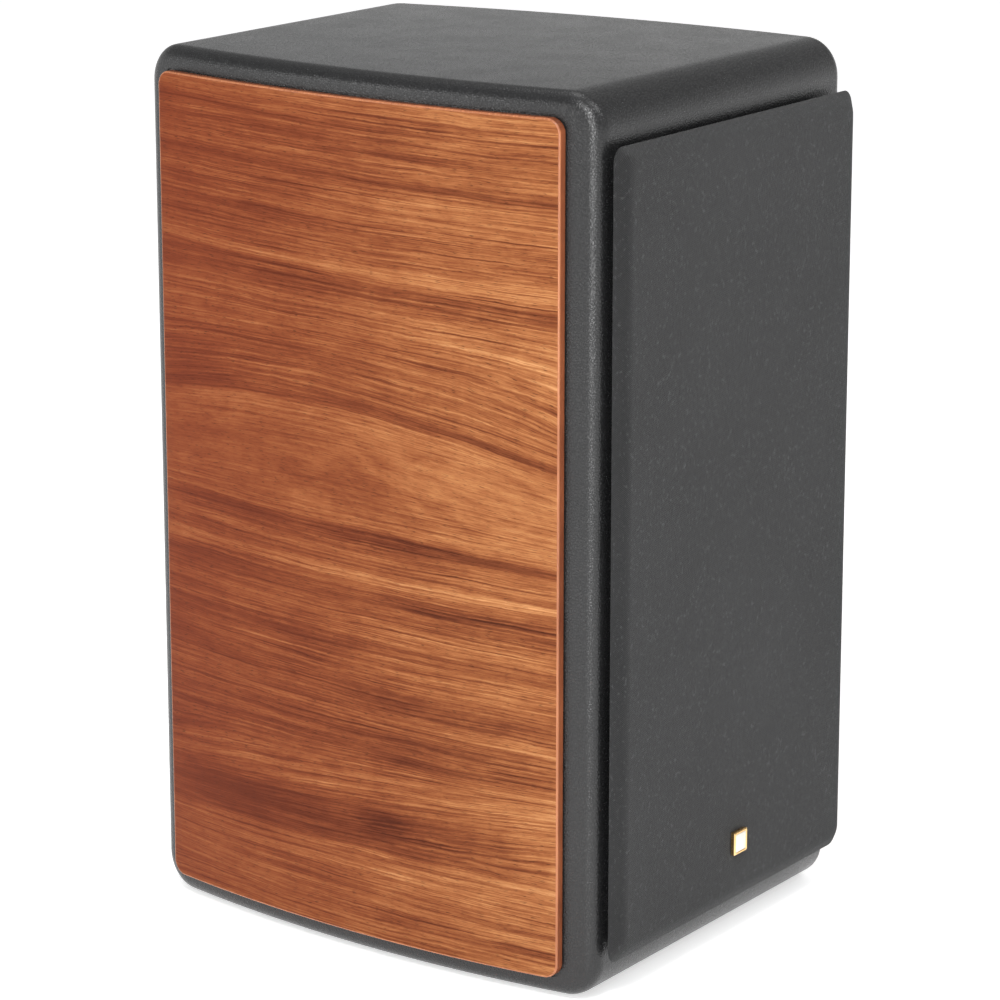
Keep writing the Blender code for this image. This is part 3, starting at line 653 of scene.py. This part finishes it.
def cabinet_mesh(inset, corner_steps=14, run_steps=40, edge_steps=9):
    edge = max(EDGE_ROUND - inset, 0.0015)
    bm = bmesh.new()
    outer = {}
    for side in (-1, 1):
        rings = []
        for step in range(edge_steps + 1):
            a = math.pi / 2 * step / edge_steps
            pulled = inset + edge * (1 - math.cos(a))
            chain = upper_chain(FRONT_Y + pulled, REAR_Y - pulled, MIDDLE_Z, TOP - pulled,
                                CORNER_RADIUS - pulled, corner_steps, run_steps)
            rings.append(side_ring(bm, side, chain, MIDDLE_Z, -inset - edge * (1 - math.sin(a))))
        loft(bm, rings)
        cap(bm, rings[-1])
        outer[side] = rings[0]
    bridge(bm, outer[-1], outer[1])
    return bm


def panel_outline(bm, side, node, inset, proud):
    """A ring on the cheek, following the side panel's outline."""
    low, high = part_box(node)
    z_middle = (low.z + high.z) / 2
    chain = upper_chain(low.y + inset, high.y - inset, z_middle, high.z - inset, PANEL_CORNER - inset, 10, 36)
    return side_ring(bm, side, chain, z_middle, proud)


def panel_groove(side):
    """The shallow bed that a side panel lies in, a little wider than the panel."""
    bm = bmesh.new()
    node = PANELS[side]
    rings = [panel_outline(bm, side, node, -GROOVE_WIDTH, -GROOVE_DEPTH),
             panel_outline(bm, side, node, -GROOVE_WIDTH, PAST)]
    bridge(bm, *rings)
    cap(bm, rings[0])
    cap(bm, rings[1])
    return bm


def leather_skin():
    """The wrap, with the recesses that the drivers, the pegs, the port and the cup sit in."""
    recess_back, clearance = FRONT_Y + 0.0053, 0.0008
    cutters = [cabinet_mesh(SKIN)]
    for node in ("woofer_basket", "horn_flare"):
        low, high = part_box(node)
        centre = (low + high) / 2
        radius = (high.x - low.x) / 2 + clearance
        cutters.append(rod_mesh(radius, FRONT_Y - PAST, recess_back, [(centre.x, centre.z)], 96))
    pegs = [centre_of(f"grille_peg_{k}") for k in range(1, 5)]
    cutters.append(rod_mesh(PEG_BORE, FRONT_Y - PAST, FRONT_Y + PAST, [(p.x, p.z) for p in pegs], 24))
    port = centre_of("reflex_port")
    cutters.append(rod_mesh(PORT_BORE, REAR_Y - PAST, REAR_Y + PAST, [(port.x, port.z)], 64))
    cup = centre_of("terminal_cup")
    cutters.append(box_mesh((-CUP_HOLE_X, REAR_Y - PAST, cup.z - CUP_HOLE_Z),
                            (CUP_HOLE_X, REAR_Y + PAST, cup.z + CUP_HOLE_Z)))
    cutters += [panel_groove(-1), panel_groove(1)]
    bm = carve(cabinet_mesh(0.0), *[mesh_only(cutter) for cutter in cutters])
    new_piece("leather_skin", bm, "leather", "cabinet", 30, ["leatherette_wrap"])


def walnut_panel(side, name, finish):
    """A bowed veneered panel with rounded corners and eased edges, the eases in a lighter finish as a painted
    highlight.
    """
    thickness, ease, ease_steps = 0.0058, 0.0010, 5
    bm = bmesh.new()
    node = PANELS[side]
    rings = [panel_outline(bm, side, node, 0.0, GAP), panel_outline(bm, side, node, 0.0, thickness - ease)]
    for face in bridge(bm, *rings):
        face.material_index = 1
    # The eased faces take slot 2, the lighter edge finish that paints a highlight along the rim.
    for step in range(1, ease_steps + 1):
        a = math.pi / 2 * step / ease_steps
        inset, proud = ease * (1 - math.cos(a)), thickness - ease * (1 - math.sin(a))
        rings.append(panel_outline(bm, side, node, inset, proud))
        for face in bridge(bm, rings[-2], rings[-1]):
            face.material_index = 2
    cap(bm, rings[0])
    cap(bm, rings[-1])
    panel = new_piece(name, bm, finish, "cabinet", 30, [node])
    for rim in ("walnut_edge", "walnut_ease_painted_highlight"):
        panel.data.materials.append(MATERIALS[rim])


# Grille.


def rounded_ring(bm, half_x, half_z, centre_z, y, radius, steps=6):
    points = []
    for cx, cz, start in ((1, 1, 0), (-1, 1, 90), (-1, -1, 180), (1, -1, 270)):
        for k in range(steps + 1):
            a = math.radians(start + 90 * k / steps)
            points.append((cx * (half_x - radius) + radius * math.cos(a),
                           centre_z + cz * (half_z - radius) + radius * math.sin(a)))
    return [bm.verts.new((x, y, z)) for x, z in points]


def grille_cloth():
    """Cloth stretched over the bevelled frame and turned in behind it."""
    low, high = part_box("grille_cloth")
    half_x, half_z = (high.x - low.x) / 2, (high.z - low.z) / 2
    centre_z = (low.z + high.z) / 2
    chamfer, lip, turn_in, corner = 0.0079, 0.0008, 0.010, 0.0085
    soft_back, soft_front = 0.0012, 0.0036
    edge = Vector((0.0, high.y - lip))
    crease = Vector((chamfer, low.y))
    slope = (crease - edge).normalized()

    def bend(before, at, after, steps):
        """Points along a soft bend that leaves one line and joins the next."""
        shares = [k / steps for k in range(steps + 1)]
        return [before * (1 - s) ** 2 + at * (2 * s * (1 - s)) + after * s * s for s in shares]

    profile = [Vector((turn_in, high.y)), Vector((0.0016, high.y)), Vector((0.0004, high.y - 0.0001))]
    profile += bend(Vector((0.0, high.y - 0.0004)), edge, edge + slope * soft_back, 4)
    profile += bend(crease - slope * soft_front, crease, crease + Vector((soft_front, 0.0)), 8)
    profile.append(Vector((chamfer + 0.02, low.y)))
    bm = bmesh.new()
    rings = []
    for inset, y in profile:
        rings.append(rounded_ring(bm, half_x - inset, half_z - inset, centre_z, y, corner, 10))
    loft(bm, rings)
    bm.faces.new(rings[-1])
    cloth = new_piece("grille_cloth_sheet", bm, "cloth", "grille", 180, ["grille_cloth"])
    thick = cloth.modifiers.new("cloth_thickness", "SOLIDIFY")
    thick.thickness = 0.0005
    thick.offset = -1.0


def badge():
    """A blank square badge: a bright rim with bevelled edges round a paler inset face."""
    low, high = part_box("grille_badge")
    centre = (low + high) / 2
    half = (high.x - low.x) / 2
    bm = bmesh.new()
    steps = [
        (half - 0.0003, high.y), (half, high.y - 0.0004), (half, low.y + 0.0006),
        (half - 0.0006, low.y), (half - 0.0014, low.y), (half - 0.0017, low.y + 0.0005),
    ]
    rings = [rounded_ring(bm, h, h, centre.z, y, 0.0009, 4) for h, y in steps]
    loft(bm, rings)
    bm.faces.new(rings[0])
    bm.faces.new(rings[-1])
    new_piece("badge_rim", bm, "gold", "grille", 30, ["grille_badge"])
    face = bmesh.new()
    inner = half - 0.0018
    plate = [(inner, low.y + 0.0005), (inner, low.y + 0.0003), (inner - 0.0003, low.y + 0.0001)]
    rings = [rounded_ring(face, h, h, centre.z, y, 0.0006, 4) for h, y in plate]
    loft(face, rings)
    face.faces.new(rings[0])
    face.faces.new(rings[-1])
    new_piece("badge_inset", face, "pale", "grille", 30)


def grille_pegs():
    profile = [
        (0, 6.5), (6.0, 6.5), (6.5, 6.0), (6.5, 0.8), (6.0, 0.3), (3.6, 0.3), (3.6, -3.0), (3.9, -4.0),
        (3.6, -5.0), (3.6, -10), (2.6, -11.5), (0, -11.5),
    ]
    for number in range(1, 5):
        node = f"grille_peg_{number}"
        centre = centre_of(node)
        turned(f"peg_{number}", profile, (centre.x, FRONT_Y, centre.z), "front", "rubber", "grille",
               steps=32, replaces=[node])


# Drivers.


def at_front(node):
    centre = centre_of(node)
    return Vector((centre.x, FRONT_Y, centre.z))


def flex(ring, at, inner, outer):
    """Lets a suspension ring follow the cone at its inner radius and the basket at its outer one."""
    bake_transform(ring, "cabinet", "woofer_moving", at, at + Vector((0, 0.1, 0)))
    weights = ring.data.attributes["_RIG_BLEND"].data
    for vertex, weight in zip(ring.data.vertices, weights):
        radius = math.hypot(vertex.co.x - at.x, vertex.co.z - at.z) / MM
        share = min(max((outer - radius) / (outer - inner), 0.0), 1.0)
        weight.value = share * share * (3 - 2 * share)


def woofer():
    at = at_front("woofer_cone")
    basket = [
        (118, -0.8), *arc(117.2, -0.8, 0.8, 0, 90, 3), (105.3, 0), *arc(105.3, -0.8, 0.8, 90, 180, 3),
        (104.5, -3), (97, -3), (97, -6.5), (100, -6.5), (100, -14.8), (74.1, -57.5), (66, -57.5), (66, -60),
        (72.6, -60), (60.5, -80), (60.5, -82), (40, -82), (40, -86), (64, -86), (64, -80), (104, -14),
        (104, -5), (118, -5),
    ]
    bm = turned_mesh(basket, at, "front", 96)
    window_count, window_depth, window_radius, window_size = 6, 0.037, 0.105, (0.056, 0.034, 0.070)
    windows = bmesh.new()
    for k in range(window_count):
        place = (
            Matrix.Translation((at.x, FRONT_Y + window_depth, at.z))
            @ Matrix.Rotation(math.tau * k / window_count, 4, "Y")
            @ Matrix.Translation((0, 0, window_radius))
            @ Matrix.Diagonal((*window_size, 1))
        )
        bmesh.ops.create_cube(windows, size=1.0, matrix=place)
    screws = [centre_of(f"woofer_screw_{k}") for k in range(1, 7)]
    holes = rod_mesh(SCREW_BORE, FRONT_Y - PAST, FRONT_Y + PAST, [(s.x, s.z) for s in screws], 20)
    bm = carve(bm, mesh_only(windows), mesh_only(holes))
    new_piece("basket_casting", bm, "cast", "cabinet", 30, ["woofer_basket"])

    cone_rim, cone_neck, cone_depth, cone_wall = 83.2, 20.0, 46.9, 1.2
    roll, inside = arc(90, -2.7, 7.0, 0, 180, 18), arc(90, -2.7, 6.0, 180, 0, 18)
    surround = [
        (103.8, -1.7), (98.0, -1.6), *roll, (81.5, -1.9), (77.5, -1.8), (77.5, -2.7), *inside, (103.8, -2.7),
    ]
    roll_ring = turned("rolled_surround", surround, at, "front", "rubber", None, 120,
                       replaces=["woofer_surround"])
    flex(roll_ring, at, cone_rim, 97.0)
    wave = [(24 + 2 * k, -56.2 + 1.6 * math.cos(math.pi * k / 4)) for k in range(21)]
    spider = [(20.2, -55.9), *wave, (71.5, -56.4), (71.5, -57.2), *[(r, h - 0.7) for r, h in reversed(wave)],
              (20.2, -56.9)]
    spider_ring = turned("corrugated_spider", spider, at, "front", "spider", None, 96,
                         replaces=["woofer_spider"])
    flex(spider_ring, at, 30.0, 66.0)

    def rib(radius):
        """Narrow raised rings on the cone, 7.5 mm apart."""
        return 0.35 * max(0.0, math.cos(math.tau * (radius - 70.0) / 7.5)) ** 6 if 40 < radius < 78 else 0.0

    front, cone_steps = [], 40
    for k in range(cone_steps + 1):
        t = k / cone_steps
        radius = cone_rim + (cone_neck - cone_rim) * t
        front.append((radius, -3.1 - cone_depth * t ** 1.5 + rib(radius)))
    back = [(r, h - cone_wall) for r, h in reversed(front)]
    turned("ribbed_cone", front + back, at, "front", "paper", "woofer_moving", 120,
           replaces=["woofer_cone"])
    dome = arc(0, -70.0, 35.0, 90, 47, 16)
    inner = [(r * 0.975, h - 0.9) for r, h in reversed(dome)]
    dust_cap = [(0, dome[0][1]), *dome[1:], *inner[:-1], (0, inner[-1][1])]
    turned("dust_cap_dome", dust_cap, at, "front", "gloss", "woofer_moving", 72,
           replaces=["woofer_dust_cap"])


def horn():
    at = at_front("horn_flare")
    mouth, throat, length, wall, steps = 72.0, 12.5, 80.0, 3.2, 32
    growth = math.log(mouth / throat) / length

    def flare(h):
        return throat * math.exp(growth * (h + length))

    heights = [-1.0 - (length - 1.0) * k / steps for k in range(steps + 1)]
    inside = [(flare(h), h) for h in reversed(heights)]
    outside = [(flare(h) + wall, h) for h in heights if -77 < h < -6]
    lip = arc(74.0, -1.2, 1.2, 170, 90, 4)
    profile = [
        *lip, (84.2, 0), *arc(84.2, -0.8, 0.8, 90, 0, 3), (85, -5), (flare(-5) + wall, -5), *outside,
        (flare(-78) + wall, -78), (44, -78), (44, -84), (throat, -84), *inside,
    ]
    bm = turned_mesh(profile, at, "front", 96)
    screws = [centre_of(f"horn_screw_{k}") for k in range(1, 5)]
    holes = rod_mesh(SCREW_BORE, FRONT_Y - PAST, FRONT_Y + PAST, [(s.x, s.z) for s in screws], 20)
    bm = carve(bm, mesh_only(holes))
    new_piece("horn_body", bm, "plastic", "cabinet", 30, ["horn_flare"])


def driver_screws():
    """Button heads with a hexagon socket."""
    profile = [
        (0, 1.2), (1.6, 1.2), (1.6, 2.4), (1.9, 2.5), (3.0, 2.35), (3.8, 1.8), (4.2, 1.1), (4.2, 0.3),
        (2, 0.3), (2, -15), (0, -16.5),
    ]

    def socket(angle, radius, height):
        return 0.12 * math.cos(6 * angle) if radius < 1.7 and height > 1.0 else 0.0

    names = [f"woofer_screw_{k}" for k in range(1, 7)] + [f"horn_screw_{k}" for k in range(1, 5)]
    for name in names:
        turned(name.replace("screw", "bolt"), profile, at_front(name), "front", "screw", "cabinet",
               24, socket, [name])


# Rear fittings.


def reflex_port():
    centre = centre_of("reflex_port")
    lip = arc(44, 3.3 - 12, 12, 90, 180, 14)
    profile = [
        (46.8, 3.3), (47.6, 2.9), (48, 2.2), (48, 0.3), (34.5, 0.3), (34.5, -120), (32, -120), *reversed(lip),
    ]
    at = Vector((centre.x, REAR_Y, centre.z))
    turned("port_tube", profile, at, "rear", "plastic", "cabinet", 96,
           replaces=["reflex_port"])


def terminal_cup():
    low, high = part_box("terminal_cup")
    centre = (low + high) / 2
    flange_y = REAR_Y + GAP
    flange = bmesh.new()
    steps = [(0.0, flange_y), (0.0, high.y - 0.0012), (0.0004, high.y - 0.0004), (0.0012, high.y)]
    rings = []
    for inset, y in steps:
        half_x, half_z = (high.x - low.x) / 2 - inset, (high.z - low.z) / 2 - inset
        rings.append(rounded_ring(flange, half_x, half_z, centre.z, y, 0.006 - inset, 8))
    loft(flange, rings)
    hollow_steps = [
        (0.0450, 0.0300, high.y), (0.0438, 0.0288, high.y - 0.0012), (0.0435, 0.0285, REAR_Y - 0.016),
        (0.0425, 0.0275, REAR_Y - 0.017),
    ]
    inner = [rounded_ring(flange, x, z, centre.z, y, 0.004, 8) for x, z, y in hollow_steps]
    bridge(flange, rings[-1], inner[0])
    loft(flange, inner)
    flange.faces.new(inner[-1])
    tub = [(0.046, 0.031, flange_y), (0.046, 0.031, REAR_Y - 0.0195)]
    outer = [rounded_ring(flange, x, z, centre.z, y, 0.005, 8) for x, z, y in tub]
    bridge(flange, rings[0], outer[0])
    bridge(flange, outer[0], outer[1])
    flange.faces.new(outer[1])
    posts = [centre_of("positive_post"), centre_of("negative_post")]
    holes = rod_mesh(POST_BORE, REAR_Y - 0.03, REAR_Y, [(p.x, p.z) for p in posts], 32)
    bm = carve(flange, mesh_only(holes))
    new_piece("cup_moulding", bm, "plastic", "cabinet", 30, ["terminal_cup"])
    screw = [(0, 0.7), (0.9, 0.7), (0.9, 1.3), (1.6, 1.4), (2.4, 1.1), (2.9, 0.5), (2.9, 0.05), (0, 0.05)]
    corners = [(x, z) for x in (-0.0505, 0.0505) for z in (-0.0365, 0.0365)]
    for number, (x, z) in enumerate(corners, 1):
        at = Vector((x, high.y, centre.z + z))
        turned(f"cup_screw_{number}", screw, at, "rear", "screw", "cabinet", 24)


def binding_posts():
    """Fluted nuts with a coloured ring, on gold-plated stems."""
    stem = [
        (0, -14), (1.6, -14), (2, -13.4), (2, -2.4), (2.4, -2), (3, -2.3), (3, -19.8), (5.5, -19.8),
        (5.5, -24), (0, -24),
    ]
    washer = [(3.4, -15.2), (7.7, -15.2), (8, -15.5), (8, -16.4), (7.7, -16.7), (3.4, -16.7)]
    grip = [
        (3.4, -0.4), (7.6, -0.4), (8.3, -0.7), (8.8, -1.4), (9, -2.2), (9, -9.6), (8.6, -9.9), (8.6, -10.1),
        (3.4, -10.1),
    ]
    collar = [(3.4, -12.2), (8.4, -12.2), (8.6, -12.5), (8.6, -14.5), (8.2, -14.9), (3.4, -14.9)]
    band = [(3.4, -10.1), (8.5, -10.1), (8.7, -10.3), (8.7, -11.9), (8.5, -12.2), (3.4, -12.2)]

    def flutes(angle, radius, height):
        return -0.45 * (0.5 + 0.5 * math.cos(18 * angle)) ** 3 if radius > 8.2 else 0.0

    for pole, tint in (("positive", "red"), ("negative", "gloss")):
        centre = centre_of(f"{pole}_nut")
        at = Vector((centre.x, REAR_Y, centre.z))
        turned(f"{pole}_stem", stem, at, "rear", "gold", "cabinet", 40,
               replaces=[f"{pole}_post"])
        turned(f"{pole}_flat_washer", washer, at, "rear", "gold", f"{pole}_washer", 48,
               replaces=[f"{pole}_washer"])
        turned(f"{pole}_grip", grip, at, "rear", "gold", f"{pole}_nut", 144, flutes,
               [f"{pole}_nut"], 50)
        turned(f"{pole}_band", band, at, "rear", tint, f"{pole}_nut", 72)
        turned(f"{pole}_collar", collar, at, "rear", "gold", f"{pole}_nut", 72)


def feet():
    profile = [
        (0, 2.2), (13, 2.2), (14.6, 1.9), (15, 1.2), (15, 0.6), (14.6, 0.2), (13.8, 0), (4, 0),
        (3.4, 0.6), (0, 0.6),
    ]
    for place in ("front_left", "front_right", "rear_left", "rear_right"):
        centre = centre_of(f"foot_{place}")
        turned(f"pad_{place}", profile, (centre.x, centre.y, 0), "up", "rubber", "cabinet", 56,
               replaces=[f"foot_{place}"])


# Hidden pieces keep their CAD shape and get a finish.


def finish_cad_nodes():
    finishes = {
        "board": ["front_baffle", "rear_board", "top_board", "bottom_board", "left_side_board",
                  "right_side_board", "window_brace"],
        "felt": ["damping_pad"],
        "copper": ["woofer_voice_coil", "bass_inductor", "treble_inductor"],
        "steel": ["woofer_top_plate", "woofer_yoke", "horn_driver_plate"],
        "ferrite": ["woofer_magnet", "horn_magnet"],
        "titanium": ["horn_diaphragm"],
        "plastic": ["horn_rear_cap", "grille_frame"],
        "circuit": ["crossover_board"],
        "film": ["bass_capacitor", "treble_capacitor"],
    }
    for finish, nodes in finishes.items():
        for node in nodes:
            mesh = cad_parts[node].data
            mesh.materials.clear()
            mesh.materials.append(MATERIALS[finish])


# Stage, light and camera.


def floor():
    bm = bmesh.new()
    bmesh.ops.create_circle(bm, cap_ends=True, radius=30.0, segments=96)
    mesh = bpy.data.meshes.new("floor")
    bm.to_mesh(mesh)
    bm.free()
    plane = bpy.data.objects.new("floor", mesh)
    bpy.context.scene.collection.objects.link(plane)
    t = Tree("pale_floor", roughness=0.6, specular_ior_level=0.2)
    cloud = t.noise(t.stretched((3, 3, 3)), detail=2)
    t.set("Base Color", t.mix(cloud, (0.90, 0.90, 0.90), (0.93, 0.93, 0.93)))
    t.set("Emission Color", (1.0, 1.0, 1.0, 1.0))
    t.set("Emission Strength", 0.55)
    mesh.materials.append(t.material)


def area_light(name, at, size, power):
    """A rectangular light that is aimed at the middle of the cabinet."""
    data = bpy.data.lights.new(name, "AREA")
    data.shape = "RECTANGLE"
    data.size, data.size_y = size
    data.energy = power
    lamp = bpy.data.objects.new(name, data)
    lamp.location = at
    lamp.rotation_euler = (Vector((0, 0, MIDDLE_Z)) - Vector(at)).to_track_quat("-Z", "Y").to_euler()
    bpy.context.scene.collection.objects.link(lamp)


def light():
    """Soft lights in a room that is bright at the horizon and overhead, and white to the camera."""
    world = bpy.data.worlds.new("studio")
    world.use_nodes = True
    tree = world.node_tree
    direction = tree.nodes.new("ShaderNodeTexCoord").outputs["Generated"]
    split = tree.nodes.new("ShaderNodeSeparateXYZ")
    grey = tree.nodes.new("ShaderNodeValToRGB")
    by_height = [(0.0, 0.84), (0.18, 0.64), (0.34, 0.33), (0.75, 0.34), (0.92, 0.70), (1.0, 0.80)]
    while len(grey.color_ramp.elements) < len(by_height):
        grey.color_ramp.elements.new(1.0)
    for element, (height, value) in zip(grey.color_ramp.elements, by_height):
        element.position = height
        element.color = (value, value, value, 1.0)
    tree.links.new(direction, split.inputs[0])
    tree.links.new(split.outputs["Z"], grey.inputs["Fac"])
    seen = tree.nodes.new("ShaderNodeMixRGB")
    seen.inputs["Color2"].default_value = (1.0, 1.0, 1.0, 1.0)
    tree.links.new(tree.nodes.new("ShaderNodeLightPath").outputs["Is Camera Ray"], seen.inputs["Fac"])
    tree.links.new(grey.outputs["Color"], seen.inputs["Color1"])
    tree.links.new(seen.outputs["Color"], tree.nodes["Background"].inputs["Color"])
    bpy.context.scene.world = world
    area_light("key", (-2.4, -1.3, 2.7), (0.35, 0.35), 50)
    area_light("left_strip", (-2.6, -1.5, 0.9), (0.25, 1.8), 44)
    area_light("front_soft", (0.3, -1.9, 2.7), (0.8, 0.8), 20)
    area_light("rear_strip", (-2.4, 1.65, 0.85), (1.6, 0.3), 10)
    area_light("overhead", (0.3, 0.3, 3.0), (1.0, 1.0), 8)
    view = bpy.context.scene.view_settings
    view.view_transform = "Standard"
    view.look = "None"


def camera():
    data = bpy.data.cameras.new("camera")
    data.lens = CAMERA_LENS
    made = bpy.data.objects.new("camera", data)
    made.location = CAMERA_AT
    made.rotation_euler = (math.pi / 2 - CAMERA_PITCH, 0, CAMERA_YAW)
    bpy.context.scene.collection.objects.link(made)
    bpy.context.scene.camera = made


camera()
floor()
light()
leather_skin()
walnut_panel(-1, "left_veneer_panel", "walnut_left")
walnut_panel(1, "right_veneer_panel", "walnut_right")
grille_cloth()
grille_pegs()
badge()
woofer()
horn()
driver_screws()
reflex_port()
terminal_cup()
binding_posts()
feet()
finish_cad_nodes()
